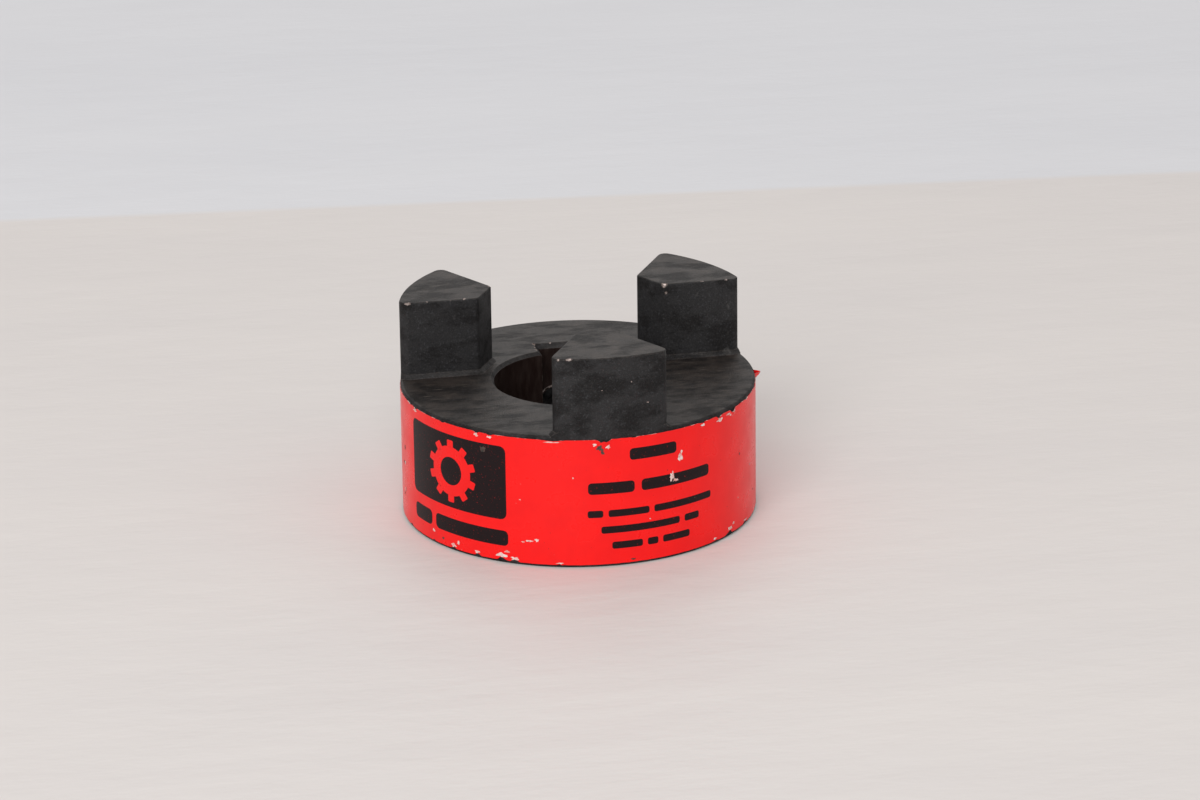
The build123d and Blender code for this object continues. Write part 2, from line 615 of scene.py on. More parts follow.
def on_wall(degrees, radius, height):
    """A place from its angle round from the front, its distance from the axis and its height."""
    angle = math.radians(degrees)
    return Vector((radius * math.sin(angle), -radius * math.cos(angle), height))


PEBBLE_SHAPE = (1.2, 0.8, 0.9)
PEBBLE_SHAKE = 0.45


def make_pebble(place, size, seed):
    """A small shaken stone, a little longer than wide."""
    bpy.ops.object.select_all(action="DESELECT")
    bpy.ops.mesh.primitive_ico_sphere_add(subdivisions=3, radius=size, location=place)
    pebble = bpy.context.object
    pebble.scale = PEBBLE_SHAPE
    pebble.rotation_euler = (0.7 * seed, 1.1 * seed, 0.4 * seed)
    bake_place(pebble)
    for point in pebble.data.vertices:
        shake = noise.noise((point.co - Vector(place)) / size * 1.3 + Vector((seed, 0, 0)))
        point.co += (point.co - Vector(place)) * PEBBLE_SHAKE * shake
    pebble.data.materials.append(bare_iron)
    return pebble


for number, (turn, radius, height, size) in enumerate(NICKS):
    cut(hub, make_pebble(on_wall(turn, radius * MM, height * MM), size * MM, number), materials="TRANSFER")
print("dented hub", len(hub.data.polygons), "faces")

# %% [markdown]
# ## Bore finish and shading
# The broached walls of the bore and the keyway are picked by where they are and get a material
# of their own. The hub is then shaded smooth up to an angle. A dent tilts the corner normals of
# the long faces beside it, which would show as a crease, so the round wall and the broad flat
# faces get their true normals back.

# %% Give the bore its own finish and shade the hub
ON_WALL = 0.02 * MM
ON_SIDE = 0.01 * MM
OFF_BORE = 0.5 * MM
WALL_BAND = 0.03 * MM
BROAD_FACE = 10 * MM * MM
UPRIGHT_SLOPE = 0.01
LEVEL_SLOPE = 0.9999
MERGE_REACH = 0.002 * MM


def in_bore(centre, normal):
    """True on the bore's wall and the keyway's three walls, without their mouth chamfers."""
    in_wall = math.hypot(centre.x, centre.y) < bore_radius + ON_WALL
    in_width = abs(centre.x) < KEYWAY_WIDTH / 2 + ON_SIDE
    in_keyway = in_width and 0 < centre.y < keyway_roof + ON_WALL
    return (in_wall or in_keyway) and abs(normal.z) < 0.5


edit(hub, "FACE")
bore_faces = pick_faces(hub, in_bore)
hub.active_material_index = hub.data.materials.find(bore_iron.name)
bpy.ops.object.material_slot_assign()
leave()
close_up(hub, MERGE_REACH)
smooth(hub)
apply_modifier(hub, "WEIGHTED_NORMAL", keep_sharp=True)


def settle_normals(piece, radius):
    """Point a round wall's normals straight out and those of broad flat faces straight off them."""
    mesh = piece.data
    normals = [Vector(corner.vector) for corner in mesh.corner_normals]
    for face in mesh.polygons:
        distance = math.hypot(face.center.x, face.center.y)
        round_wall = abs(face.normal.z) < UPRIGHT_SLOPE and abs(distance - radius) < WALL_BAND
        broad_flat = face.area > BROAD_FACE and distance > bore_radius + OFF_BORE
        for corner in face.loop_indices:
            place = mesh.vertices[mesh.loops[corner].vertex_index].co
            if round_wall:
                normals[corner] = Vector((place.x, place.y, 0)).normalized()
            elif broad_flat or abs(face.normal.z) > LEVEL_SLOPE:
                normals[corner] = face.normal.copy()
    mesh.normals_split_custom_set(normals)


settle_normals(hub, hub_radius)
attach(hub, "hub")
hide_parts("hub")
print("bore faces", bore_faces)

# %% [markdown]
# ## Set screw
# A socket set screw with a cup point holds the hub on the shaft's key. The threaded rod is
# trimmed by a turned envelope with chamfered ends and the cup in its point. A hexagon is then
# sunk into the other end, over a drilled cone, and its mouth is opened by a wide countersink.

# %% Make the set screw
SCREW_CHAMFER = 0.5 * MM
THREAD_DEPTH = 0.62 * MM
CUP_RADIUS = 1.6 * MM
CUP_DEPTH = 0.96 * MM
SOCKET_FLATS = 3.175 * MM
SOCKET_DEPTH = 3.0 * MM
SOCKET_MOUTH = 0.12 * MM


def make_envelope(length):
    """What the ends of the screw are turned to: cup point below, chamfered head end above."""
    section = [
        (0, CUP_DEPTH),
        (CUP_RADIUS, 0),
        (screw_radius - 2 * SCREW_CHAMFER, 0),
        (screw_radius, SCREW_CHAMFER),
        (screw_radius + OVERRUN, SCREW_CHAMFER + OVERRUN),
        (screw_radius + OVERRUN, length - SCREW_CHAMFER - OVERRUN),
        (screw_radius, length - SCREW_CHAMFER),
        (screw_radius - SCREW_CHAMFER, length),
        (0, length),
    ]
    return turned("screw_envelope", section, 64)


def make_socket(length):
    """The hexagon with its drilled bottom."""
    corner = SOCKET_FLATS / math.sqrt(3)
    bpy.ops.object.select_all(action="DESELECT")
    bpy.ops.mesh.primitive_circle_add(
        vertices=6, radius=corner, fill_type="NGON", location=(0, 0, length + OVERRUN),
    )
    socket = bpy.context.object
    bake_place(socket)
    edit(socket, "FACE")
    take_all()
    extrude_up(-SOCKET_DEPTH - OVERRUN)
    bpy.ops.mesh.inset(thickness=corner * 0.12, depth=0)
    extrude_up(-corner / 2)
    bpy.ops.mesh.merge(type="CENTER")
    leave()
    close_up(socket)
    return socket


def make_set_screw():
    """The whole screw, laid in its hole."""
    length = screw_outer_end - screw_inner_end
    root = screw_radius - THREAD_DEPTH
    screw = threaded_rod("socket_set_screw", screw_radius, root, -OVERRUN, length + OVERRUN)
    cut(screw, make_envelope(length), "INTERSECT")
    cut(screw, make_socket(length))
    wide = SOCKET_FLATS / math.sqrt(3) + SOCKET_MOUTH + OVERRUN
    mouth = turned("socket_mouth", [(0, 0), (wide, wide), (0, wide)], 48)
    mouth.data.transform(Matrix.Translation((0, 0, length + OVERRUN - wide)))
    cut(screw, mouth)
    close_up(screw, MERGE_REACH)
    laid_along_y(screw, screw_inner_end, screw_height)
    smooth(screw, 28)
    return screw


set_screw = make_set_screw()
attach(set_screw, "set_screw")
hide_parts("set_screw")
print("set screw", len(set_screw.data.polygons), "faces")

# %% [markdown]
# ## Wrap label
# The label is a printed paper strip, glued round the hub and worn at its edges. It is made flat,
# as it was printed: a grid whose rows near the edges are pushed in where the paper is chipped
# and pulled off the wall where it curls. It then gets its thickness, with the pale paper on its
# rim, and is wrapped round the hub by the rule that length along the strip is length round the
# wall. A bend modifier could wrap it too, but the rule also wraps the print, exactly alike.

# %% Draw the strip flat
GRID_STEP = 0.4 * MM
FRAY = 0.05 * MM
EDGE_REACH = 1.6 * MM
FIBRE_LENGTH = 0.9 * MM
CHIP_SHAKE = 0.5 * MM
CHIP_SPREAD = 1.3
CORNER_LIFT = 0.25 * MM

label_thickness = label_radius - hub_radius
label_half_length = label_half_angle * label_radius

# Each chip: place along the strip, half-width and depth, in mm.
TOP_CHIPS = [
    (-37.5, 0.5, 0.15), (-35.5, 0.5, 0.35), (-28.0, 0.5, 0.15), (-21.1, 0.5, 0.35),
    (-18.7, 0.4, 0.3), (-9.0, 1.6, 0.16), (-1.7, 0.7, 0.5), (-0.9, 0.35, 0.35), (3.0, 0.4, 0.12),
    (15.2, 0.5, 0.25), (19.0, 0.5, 0.45), (22.3, 0.8, 0.5), (27.5, 0.5, 0.2), (33.0, 0.6, 0.25),
    (50.0, 0.8, 0.5), (-48.0, 0.6, 0.4), (-55.0, 0.7, 0.3), (58.0, 0.6, 0.3),
]
BOTTOM_CHIPS = [
    (-38.0, 0.5, 0.3), (-30.5, 0.4, 0.2), (-25.9, 0.6, 0.3), (-21.2, 0.6, 0.4), (-17.1, 0.9, 0.45),
    (-15.0, 0.6, 0.35), (-8.1, 0.5, 0.2), (17.7, 0.4, 0.3), (21.5, 0.9, 0.5), (26.7, 0.6, 0.3),
    (34.0, 0.5, 0.3), (48.5, 0.8, 0.4), (-47.0, 0.7, 0.5), (-58.0, 0.7, 0.4), (57.0, 0.5, 0.3),
]
# Each curl: place along the strip, half-width, and how far the paper stands off, in mm.
TOP_CURLS = [(-1.0, 0.7, 0.25), (22.6, 0.8, 0.25), (39.6, 1.1, 1.0), (-20.0, 1.5, 0.12), (51.0, 1.0, 0.4)]


def hump(offset, half_width):
    """A smooth bump, 1 at its middle and 0 beyond its half-width."""
    if abs(offset) >= half_width:
        return 0.0
    return 0.5 + 0.5 * math.cos(math.pi * offset / half_width)


def fray(along, seed):
    """Fine unevenness of a cut or worn paper edge."""
    return FRAY * noise.noise(Vector((along / FIBRE_LENGTH, seed, 0)))


def wear(along, chips):
    """How far an edge has worn back at a place along the strip, with broken outlines."""
    shaken = along + CHIP_SHAKE * noise.noise(Vector((along / FIBRE_LENGTH * 2, 7, 0)))
    return sum(depth * MM * hump(shaken - at * MM, CHIP_SPREAD * half * MM) for at, half, depth in chips)


def draw_strip():
    """The flat strip: x along it, y up it, z out of the wall."""
    width = label_top - label_bottom
    columns = round(2 * label_half_length / GRID_STEP)
    rows = round(width / GRID_STEP)
    bpy.ops.object.select_all(action="DESELECT")
    bpy.ops.mesh.primitive_grid_add(x_subdivisions=columns, y_subdivisions=rows, size=1)
    strip = bpy.context.object
    strip.name = "wrap_label"
    strip.scale = (2 * label_half_length, width, 1)
    strip.location = (0, (label_bottom + label_top) / 2, 0)
    bake_place(strip)
    for point in strip.data.vertices:
        along, up, out = point.co
        near_top = hump(label_top - up, EDGE_REACH)
        near_bottom = hump(up - label_bottom, EDGE_REACH)
        curl = sum(lift * MM * hump(along - at * MM, half * MM) for at, half, lift in TOP_CURLS)
        up -= near_top * (wear(along, TOP_CHIPS) + fray(along, 1) + FRAY)
        up += near_bottom * (wear(along, BOTTOM_CHIPS) + fray(along, 2) + FRAY)
        end = hump(label_half_length - abs(along), EDGE_REACH)
        along -= math.copysign(end * (2 * FRAY + 3 * fray(up, 3)), along)
        out += curl * near_top ** 2 + CORNER_LIFT * end ** 2 * (near_top + 0.3 * near_bottom)
        point.co = (along, up, out)
    return strip


def wrap(piece, radius):
    """Wrap a flat piece round the bore axis, so that z = 0 lands on a radius."""
    for point in piece.data.vertices:
        along, up, out = point.co
        angle = along / radius
        reach = radius + out
        point.co = (reach * math.sin(angle), -reach * math.cos(angle), up)


red_paper = bpy.data.materials.new("gloss_red_print")
paper_edge = bpy.data.materials.new("worn_paper_edge")
label = draw_strip()
label.data.materials.append(red_paper)
label.data.materials.append(paper_edge)
apply_modifier(
    label, "SOLIDIFY", thickness=label_thickness, offset=-1, use_even_offset=True,
    material_offset_rim=1,
)
wrap(label, label_radius)
smooth(label, 40)
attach(label, "hub")
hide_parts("label")
print("label", len(label.data.polygons), "faces,", round(2 * label_half_length / MM, 1), "mm long")

# %% [markdown]
# ## Print
# The real label carries a mark and some lines of words. Here they are generic: a dark panel for
# a plain sign, and rounded bars in place of words. They are drawn flat as
# one very thin layer on top of the strip, cut into narrow columns so that they can bend, given
# a thickness and wrapped like the strip. The layer could be painted in the label's material
# instead, but as shapes the edges of the print stay sharp at any distance.

# %% Draw the print
INK_THICKNESS = 0.008 * MM
BAR_COLUMN = 0.6 * MM

# How far each layer lies off the strip, so that no two share a surface.
PRINT_LEVEL = 0.004 * MM
SIGN_LEVEL = 0.016 * MM
STAIN_LEVEL = 0.022 * MM
SCUFF_LEVEL = 0.030 * MM

# Each bar: left end, right end, bottom and top, in mm.
PANEL = (-36.3, -16.2, 6.9, 18.4)
WORD_BARS = [
    (-35.9, -30.9, 2.75, 5.15),
    (-29.9, -16.0, 2.75, 5.15),
    (2.5, 10.1, 16.5, 18.3),
    (-3.8, 3.2, 11.5, 13.3),
    (4.3, 16.3, 11.5, 13.3),
    (-3.9, -1.6, 7.85, 8.95),
    (-0.8, 5.5, 7.85, 8.95),
    (6.3, 16.7, 7.85, 8.95),
    (-1.9, 10.6, 5.3, 6.4),
    (11.5, 14.2, 5.3, 6.4),
    (-0.3, 4.4, 2.8, 3.9),
    (5.2, 6.9, 2.8, 3.9),
    (7.7, 12.4, 2.8, 3.9),
]


def add_bar(left, right, low, high, corner):
    """In edit mode, add a flat bar with rounded corners to the open mesh."""
    middle = ((left + right) / 2 * MM, (low + high) / 2 * MM, 0)
    bpy.ops.mesh.select_all(action="DESELECT")
    bpy.ops.mesh.primitive_plane_add(size=MM, location=middle)
    size = (right - left, high - low, 1)
    bpy.ops.transform.resize(value=size, center_override=middle)
    bpy.ops.mesh.bevel(offset=corner * MM, segments=4, affect="VERTICES")


def slice_columns(piece, step):
    """Cut a flat piece into columns narrow enough to bend."""
    edit(piece)
    places = [point.co.x for point in piece.data.vertices]
    count = math.ceil((max(places) - min(places)) / step)
    for number in range(1, count):
        take_all()
        place = (min(places) + number * step, 0, 0)
        bpy.ops.mesh.bisect(plane_co=place, plane_no=(1, 0, 0), threshold=BISECT_REACH)
    leave()


def finish_layer(piece, material, out):
    """Thicken a flat layer, wrap it on the label at a distance, and let it ride with the hub."""
    slice_columns(piece, BAR_COLUMN)
    apply_modifier(piece, "SOLIDIFY", thickness=INK_THICKNESS, offset=1)
    for point in piece.data.vertices:
        point.co.z += out
    wrap(piece, label_radius)
    piece.data.materials.append(material)
    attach(piece, "hub")


def empty_mesh(name):
    """An object with no geometry yet, opened for drawing."""
    bpy.ops.object.select_all(action="DESELECT")
    bpy.ops.mesh.primitive_plane_add(size=MM)
    piece = bpy.context.object
    piece.name = name
    edit(piece)
    take_all()
    bpy.ops.mesh.delete(type="VERT")
    return piece


ink = bpy.data.materials.new("black_print")
words = empty_mesh("label_print")
add_bar(*PANEL, corner=1.0)
for bar in WORD_BARS:
    add_bar(*bar, corner=0.3 * (bar[3] - bar[2]))
leave()
finish_layer(words, ink, PRINT_LEVEL)
print("print", len(words.data.polygons), "faces")

# %% [markdown]
# ## Pictogram
# A plain gear wheel, the usual sign for drive parts, in the label's own red over the dark panel.
# Its rim is a circle, inset and opened, and its teeth are bars turned round the middle.

# %% Draw the pictogram
GEAR_OUTER = 3.9
GEAR_WIDTH = 1.7
TOOTH_COUNT = 10
TOOTH = (-0.62, 0.62, 3.6, 4.9)
middle_x = (PANEL[0] + PANEL[1]) / 2
middle_y = (PANEL[2] + PANEL[3]) / 2


def add_ring(outer, width):
    """In edit mode, add a flat ring about the middle of the panel."""
    middle = (middle_x * MM, middle_y * MM, 0)
    bpy.ops.mesh.select_all(action="DESELECT")
    bpy.ops.mesh.primitive_circle_add(
        vertices=60, radius=outer * MM, fill_type="NGON", location=middle,
    )
    bpy.ops.mesh.inset(thickness=width * MM, depth=0)
    bpy.ops.mesh.delete(type="FACE")


sign_red = bpy.data.materials.new("red_print")
sign = empty_mesh("label_pictogram")
add_ring(GEAR_OUTER, GEAR_WIDTH)
left, right, low, high = TOOTH
for number in range(TOOTH_COUNT):
    add_bar(middle_x + left, middle_x + right, middle_y + low, middle_y + high, corner=0.2)
    bpy.ops.transform.rotate(
        value=2 * math.pi * number / TOOTH_COUNT, orient_axis="Z",
        center_override=(middle_x * MM, middle_y * MM, 0),
    )
leave()
finish_layer(sign, sign_red, SIGN_LEVEL)
print("pictogram", len(sign.data.polygons), "faces")

# %% [markdown]
# ## Scuffs
# Where the red film has flaked, the pale paper shows. Each flake is a small uneven patch on top
# of the strip: a disc of a few corners, stretched, and shaken from a fixed seed.

# %% Scatter the flakes
random.seed(11)
torn_paper = bpy.data.materials.new("torn_paper")

# Each flake: place along the strip, height, half-length, half-height, in mm.
FLAKES = [
    (-35.5, 19.6, 0.7, 0.2), (-21.1, 19.55, 0.6, 0.25), (-18.8, 19.6, 0.5, 0.2), (-9.2, 19.75, 1.7, 0.1),
    (-0.8, 18.95, 0.35, 0.45), (-2.7, 19.3, 0.3, 0.3), (15.2, 19.6, 0.5, 0.2), (19.0, 19.4, 0.7, 0.3),
    (22.4, 19.3, 0.8, 0.35), (21.2, 19.6, 0.5, 0.15), (-30.5, 2.1, 0.35, 0.25), (-25.9, 1.0, 0.5, 0.3),
    (-24.9, 1.6, 0.25, 0.3), (-21.2, 1.0, 0.5, 0.3), (-17.1, 1.2, 0.9, 0.35), (-15.0, 1.0, 0.6, 0.3),
    (-16.2, 1.9, 0.4, 0.18), (-12.6, 4.0, 0.6, 0.16), (-11.5, 4.2, 0.3, 0.3), (-13.6, 3.8, 0.25, 0.12),
    (-8.1, 0.75, 0.5, 0.15), (10.7, 15.6, 0.4, 0.75), (11.0, 16.4, 0.2, 0.3), (9.3, 12.9, 0.4, 0.7),
    (9.9, 12.2, 0.5, 0.25), (17.7, 0.9, 0.4, 0.2), (21.5, 1.3, 0.9, 0.3), (22.6, 1.8, 0.35, 0.2),
    (26.7, 0.9, 0.7, 0.15), (-40.8, 9.4, 0.3, 0.35), (-41.0, 5.1, 0.3, 0.4), (29.0, 9.0, 0.2, 0.15),
    (-14.0, 10.4, 0.14, 0.1), (-6.0, 14.2, 0.12, 0.14), (5.6, 6.9, 0.1, 0.12), (24.0, 5.4, 0.14, 0.1),
    (47.5, 12.0, 0.5, 0.8), (-49.0, 8.0, 0.9, 0.4), (55.0, 17.2, 0.5, 0.6), (-60.0, 14.5, 0.4, 0.7),
]


def add_flake(at, height, half_length, half_height):
    """In edit mode, add one uneven patch: a disc whose edge wanders in and out."""
    middle = Vector((at * MM, height * MM, 0))
    bpy.ops.mesh.select_all(action="DESELECT")
    bpy.ops.mesh.primitive_circle_add(vertices=28, radius=MM, fill_type="NGON", location=middle)
    mesh = bmesh.from_edit_mesh(bpy.context.object.data)
    shift = Vector((random.uniform(0, 50), 0, 0))
    for point in mesh.verts:
        if point.select:
            away = point.co - middle
            reach = 0.85 + 0.75 * noise.noise(away / MM * 1.4 + shift) + random.uniform(-0.08, 0.08)
            point.co = middle + reach * Vector((away.x * half_length, away.y * half_height, 0))
    bmesh.update_edit_mesh(bpy.context.object.data)


# Each stain, in the same way: dark grease that has been pressed into the film.
STAINS = [
    (-20.0, 17.5, 0.55, 0.5), (-2.0, 18.7, 0.55, 0.5), (-1.6, 18.0, 0.3, 0.35), (-28.2, 1.5, 0.3, 0.2),
    (-40.9, 12.0, 0.25, 0.4), (-41.6, 9.4, 0.25, 0.3), (-41.9, 4.2, 0.35, 0.25), (2.9, 0.9, 0.35, 0.18),
    (13.4, 8.6, 0.12, 0.12), (24.6, 12.2, 0.15, 0.2), (31.0, 4.3, 0.2, 0.15), (46.0, 15.0, 0.4, 0.5),
    (-52.0, 11.0, 0.3, 0.4), (-59.5, 4.0, 0.5, 0.4),
]


def scatter(name, places, material, out):
    """One thin layer of patches at the given places."""
    patches = empty_mesh(name)
    for place in places:
        add_flake(*place)
    leave()
    finish_layer(patches, material, out)


grease = bpy.data.materials.new("old_grease")
scatter("label_scuffs", FLAKES, torn_paper, SCUFF_LEVEL)
scatter("label_stains", STAINS, grease, STAIN_LEVEL)
print("flakes", len(FLAKES), "stains", len(STAINS))

# %% [markdown]
# ## Finishes
# All patterns are noises and masks on Object coordinates, scaled so that one unit is one
# millimetre: a grain of 0.3 mm is then a noise of scale 3. Each finish gets a colour pattern, a
# roughness pattern and a fine bump. A shader's constants stay on its own sockets.

# %% Helpers for materials


def open_material(material):
    """Turn on nodes, and give the tree, its shader and coordinates in millimetres."""
    material.use_nodes = True
    tree = material.node_tree
    coordinates = tree.nodes.new("ShaderNodeTexCoord")
    scale = tree.nodes.new("ShaderNodeMapping")
    scale.inputs["Scale"].default_value = (1000, 1000, 1000)
    tree.links.new(coordinates.outputs["Object"], scale.inputs["Vector"])
    return tree, tree.nodes["Principled BSDF"], scale.outputs["Vector"]


def stretched(tree, place, factors):
    """The same place, stretched along its axes."""
    node = tree.nodes.new("ShaderNodeMapping")
    node.inputs["Scale"].default_value = factors
    tree.links.new(place, node.inputs["Vector"])
    return node.outputs["Vector"]


def grain(tree, place, scale, detail=3, rough=0.55):
    """A noise of so many waves a millimetre, as a value about one half."""
    node = tree.nodes.new("ShaderNodeTexNoise")
    node.inputs["Scale"].default_value = scale
    node.inputs["Detail"].default_value = detail
    node.inputs["Roughness"].default_value = rough
    tree.links.new(place, node.inputs["Vector"])
    return node.outputs["Fac"]


def spread(tree, value, low, high, to_low=0.0, to_high=1.0):
    """Stretch the range from low to high over another range, and hold it there."""
    node = tree.nodes.new("ShaderNodeMapRange")
    for socket, amount in zip(("From Min", "From Max", "To Min", "To Max"), (low, high, to_low, to_high)):
        node.inputs[socket].default_value = amount
    tree.links.new(value, node.inputs["Value"])
    return node.outputs["Result"]


def product(tree, first, second):
    """Two values multiplied."""
    node = tree.nodes.new("ShaderNodeMath")
    node.operation = "MULTIPLY"
    tree.links.new(first, node.inputs[0])
    tree.links.new(second, node.inputs[1])
    return node.outputs["Value"]


def blended(tree, factor, first, second):
    """One colour over another by a factor. Each is a colour or another node's output."""
    node = tree.nodes.new("ShaderNodeMix")
    node.data_type = "RGBA"
    tree.links.new(factor, node.inputs["Factor"])
    for socket, colour in ((node.inputs[6], first), (node.inputs[7], second)):
        if isinstance(colour, tuple):
            socket.default_value = (*colour, 1)
        else:
            tree.links.new(colour, socket)
    return node.outputs[2]


def tinted(tree, colour, mask, amount, tint):
    """A colour with a tint laid over it where a mask is 1, up to an amount."""
    return blended(tree, spread(tree, mask, 0, 1, 0, amount), colour, tint)


def raised(tree, height, depth, below=None):
    """A bump of so many metres, over another bump if one is given."""
    node = tree.nodes.new("ShaderNodeBump")
    node.inputs["Distance"].default_value = depth
    tree.links.new(height, node.inputs["Height"])
    if below:
        tree.links.new(below, node.inputs["Normal"])
    return node.outputs["Normal"]


def edge_mask(tree, radius, low, high):
    """1 at edges and 0 on flats, from how far a rounded normal leaves the true one."""
    rounded = tree.nodes.new("ShaderNodeBevel")
    rounded.samples = 6
    rounded.inputs["Radius"].default_value = radius
    surface = tree.nodes.new("ShaderNodeNewGeometry")
    agree = tree.nodes.new("ShaderNodeVectorMath")
    agree.operation = "DOT_PRODUCT"
    tree.links.new(rounded.outputs["Normal"], agree.inputs[0])
    tree.links.new(surface.outputs["Normal"], agree.inputs[1])
    return spread(tree, agree.outputs["Value"], high, low)


def facing_up(tree):
    """1 on faces that look up, 0 on upright ones."""
    coordinates = tree.nodes.new("ShaderNodeTexCoord")
    parts = tree.nodes.new("ShaderNodeSeparateXYZ")
    tree.links.new(coordinates.outputs["Normal"], parts.inputs["Vector"])
    return spread(tree, parts.outputs["Z"], 0.6, 0.95)


def dress(tree, shader, colour, roughness, bump):
    """Join a finish's colour, roughness and bump to its shader."""
    tree.links.new(colour, shader.inputs["Base Color"])
    tree.links.new(roughness, shader.inputs["Roughness"])
    tree.links.new(bump, shader.inputs["Normal"])


# %% [markdown]
# ## Blackened iron
# Sintered iron has a fine powder grain. Steam leaves it charcoal. The upright flanks are painted
# darker and bluish and the faces that look up lighter and browner: painted shade on the sides and
# painted light from above. Handling has smudged the faces and rubbed the edges down to a warm
# grey. The grain is two noises as bump, the pits are a third noise above a threshold, and the
# rubbed edges come from a bevel's normal.

# %% Blackened iron


def finish_iron(material):
    """Charcoal powder iron with pits, smudges and rubbed edges."""
    tree, shader, place = open_material(material)
    upward = facing_up(tree)
    mottle = spread(tree, grain(tree, place, 0.45, 5, 0.6), 0.35, 0.68)
    speckle = spread(tree, grain(tree, place, 7.0, 3, 0.7), 0.42, 0.70)
    graze = spread(tree, grain(tree, stretched(tree, place, (0.5, 0.5, 0.25)), 1.6, 3, 0.5), 0.68, 0.78)
    smudge = spread(tree, grain(tree, stretched(tree, place, (0.16, 0.34, 0.3)), 1.0, 5, 0.62), 0.45, 0.58)
    # Painted shade and light: upright flanks get a darker, bluish colour and faces that look up a lighter,
    # browner one, as light from above would give.
    flank = blended(tree, mottle, (0.0036, 0.0036, 0.0046), (0.0088, 0.0084, 0.0094))
    painted_lit_top = blended(tree, mottle, (0.0120, 0.0086, 0.0070), (0.0345, 0.0255, 0.0205))
    colour = blended(tree, upward, flank, painted_lit_top)
    colour = tinted(tree, colour, smudge, 0.80, (0.0058, 0.0054, 0.0056))
    colour = tinted(tree, colour, speckle, 0.30, (0.060, 0.055, 0.052))
    sparkle = spread(tree, grain(tree, place, 3.0, 2, 0.6), 0.57, 0.72, 0, 0.45)
    colour = blended(tree, sparkle, colour, (0.052, 0.053, 0.058))
    colour = tinted(tree, colour, graze, 0.5, (0.080, 0.076, 0.074))
    streaks = spread(tree, grain(tree, stretched(tree, place, (0.22, 1.5, 0.6)), 2.0, 4, 0.6), 0.58, 0.74)
    streaks = product(tree, streaks, upward)
    colour = tinted(tree, colour, streaks, 0.50, (0.150, 0.128, 0.110))
    broken = spread(tree, grain(tree, place, 1.4, 4, 0.65), 0.40, 0.62)
    rubbed = product(tree, edge_mask(tree, 0.00030, 0.80, 0.985), broken)
    colour = tinted(tree, colour, rubbed, 0.85, (0.135, 0.110, 0.096))
    tree.links.new(spread(tree, smudge, 0, 1, 0.36, 0.14), shader.inputs["Specular IOR Level"])
    pits = spread(tree, grain(tree, place, 2.6, 2, 0.5), 0.66, 0.74, 1, 0)
    bump = raised(tree, grain(tree, place, 3.2, 4, 0.7), 0.000085)
    bump = raised(tree, pits, 0.000045, bump)
    dress(tree, shader, colour, spread(tree, upward, 0, 1, 0.60, 0.46), bump)


finish_iron(iron)
print("finished", iron.name)

# %% [markdown]
# ## Bare and broached iron
# In the dents the metal is bright, a warm grey with a broken surface. The bore and keyway were
# broached after pressing, which left fine lines along the bore, then went dark brown in steam. The
# red in that brown is a painted reflection of the red label.
# Noise stretched along Z draws the lines.

# %% Bare and broached iron


def finish_bare_iron(material):
    """Bright broken metal in the dents."""
    tree, shader, place = open_material(material)
    patches = spread(tree, grain(tree, place, 4.0, 4, 0.6), 0.36, 0.62)
    colour = blended(tree, patches, (0.10, 0.08, 0.072), (0.46, 0.38, 0.35))
    shader.inputs["Metallic"].default_value = 0.6
    bump = raised(tree, grain(tree, place, 9.0), 0.00003)
    dress(tree, shader, colour, spread(tree, patches, 0, 1, 0.6, 0.38), bump)


def finish_broached_iron(material):
    """Dark brown metal with fine lines along the bore, tinted red as a painted reflection of the label."""
    tree, shader, place = open_material(material)
    lines = grain(tree, stretched(tree, place, (1, 1, 0.04)), 5.0, 3, 0.6)
    bands = spread(tree, grain(tree, stretched(tree, place, (1, 1, 0.22)), 1.5, 5, 0.65), 0.32, 0.72)
    # The metal's own dark brown, tinted red: a painted reflection of the red label.
    colour = blended(tree, bands, (0.020, 0.0095, 0.008), (0.042, 0.027, 0.022))
    rim = edge_mask(tree, 0.00018, 0.80, 0.98)
    worn = product(tree, rim, spread(tree, grain(tree, place, 1.1, 3), 0.42, 0.6))
    colour = tinted(tree, colour, worn, 0.8, (0.30, 0.27, 0.24))
    shader.inputs["Metallic"].default_value = 0.55
    dress(tree, shader, colour, spread(tree, bands, 0, 1, 0.34, 0.52), raised(tree, lines, 0.000025))


finish_bare_iron(bare_iron)
finish_broached_iron(bore_iron)
print("finished", bare_iron.name, "and", bore_iron.name)

# %% [markdown]
# ## Black oxide steel
# The set screw is rolled steel with a thin black oxide, smoother than the hub and a little oily.
# Its thread crests and the socket's corners are rubbed to bright steel.

# %% Black oxide steel


def finish_oxide(material):
    """Satin black with bright crests."""
    tree, shader, place = open_material(material)
    haze = spread(tree, grain(tree, place, 1.2, 4, 0.6), 0.35, 0.65)
    colour = blended(tree, haze, (0.016, 0.016, 0.018), (0.040, 0.038, 0.038))
    broken = spread(tree, grain(tree, place, 3.0, 3), 0.38, 0.6)
    rubbed = product(tree, edge_mask(tree, 0.00012, 0.82, 0.985), broken)
    colour = tinted(tree, colour, rubbed, 0.8, (0.30, 0.29, 0.28))
    shader.inputs["Metallic"].default_value = 0.7
    bump = raised(tree, grain(tree, place, 8.0, 3), 0.000008)
    dress(tree, shader, colour, spread(tree, haze, 0, 1, 0.30, 0.46), bump)


black_oxide = bpy.data.materials.new("black_oxide_steel")
finish_oxide(black_oxide)
set_screw.data.materials.append(black_oxide)
print("finished", black_oxide.name)

# %% [markdown]
# ## Label, ink and torn paper
# The label's red is a film with a soft gloss, faintly uneven where the glue lies under it, with
# a few dark specks. Its worn edges fade to paper. The ink is a duller black, thin enough in
# places to let the red through. The torn paper is off-white and fibrous, stained grey and pink.

# %% Label, ink and torn paper
FILM_RED = (0.86, 0.0065, 0.0060)
INK_BLACK = (0.010, 0.005, 0.006)


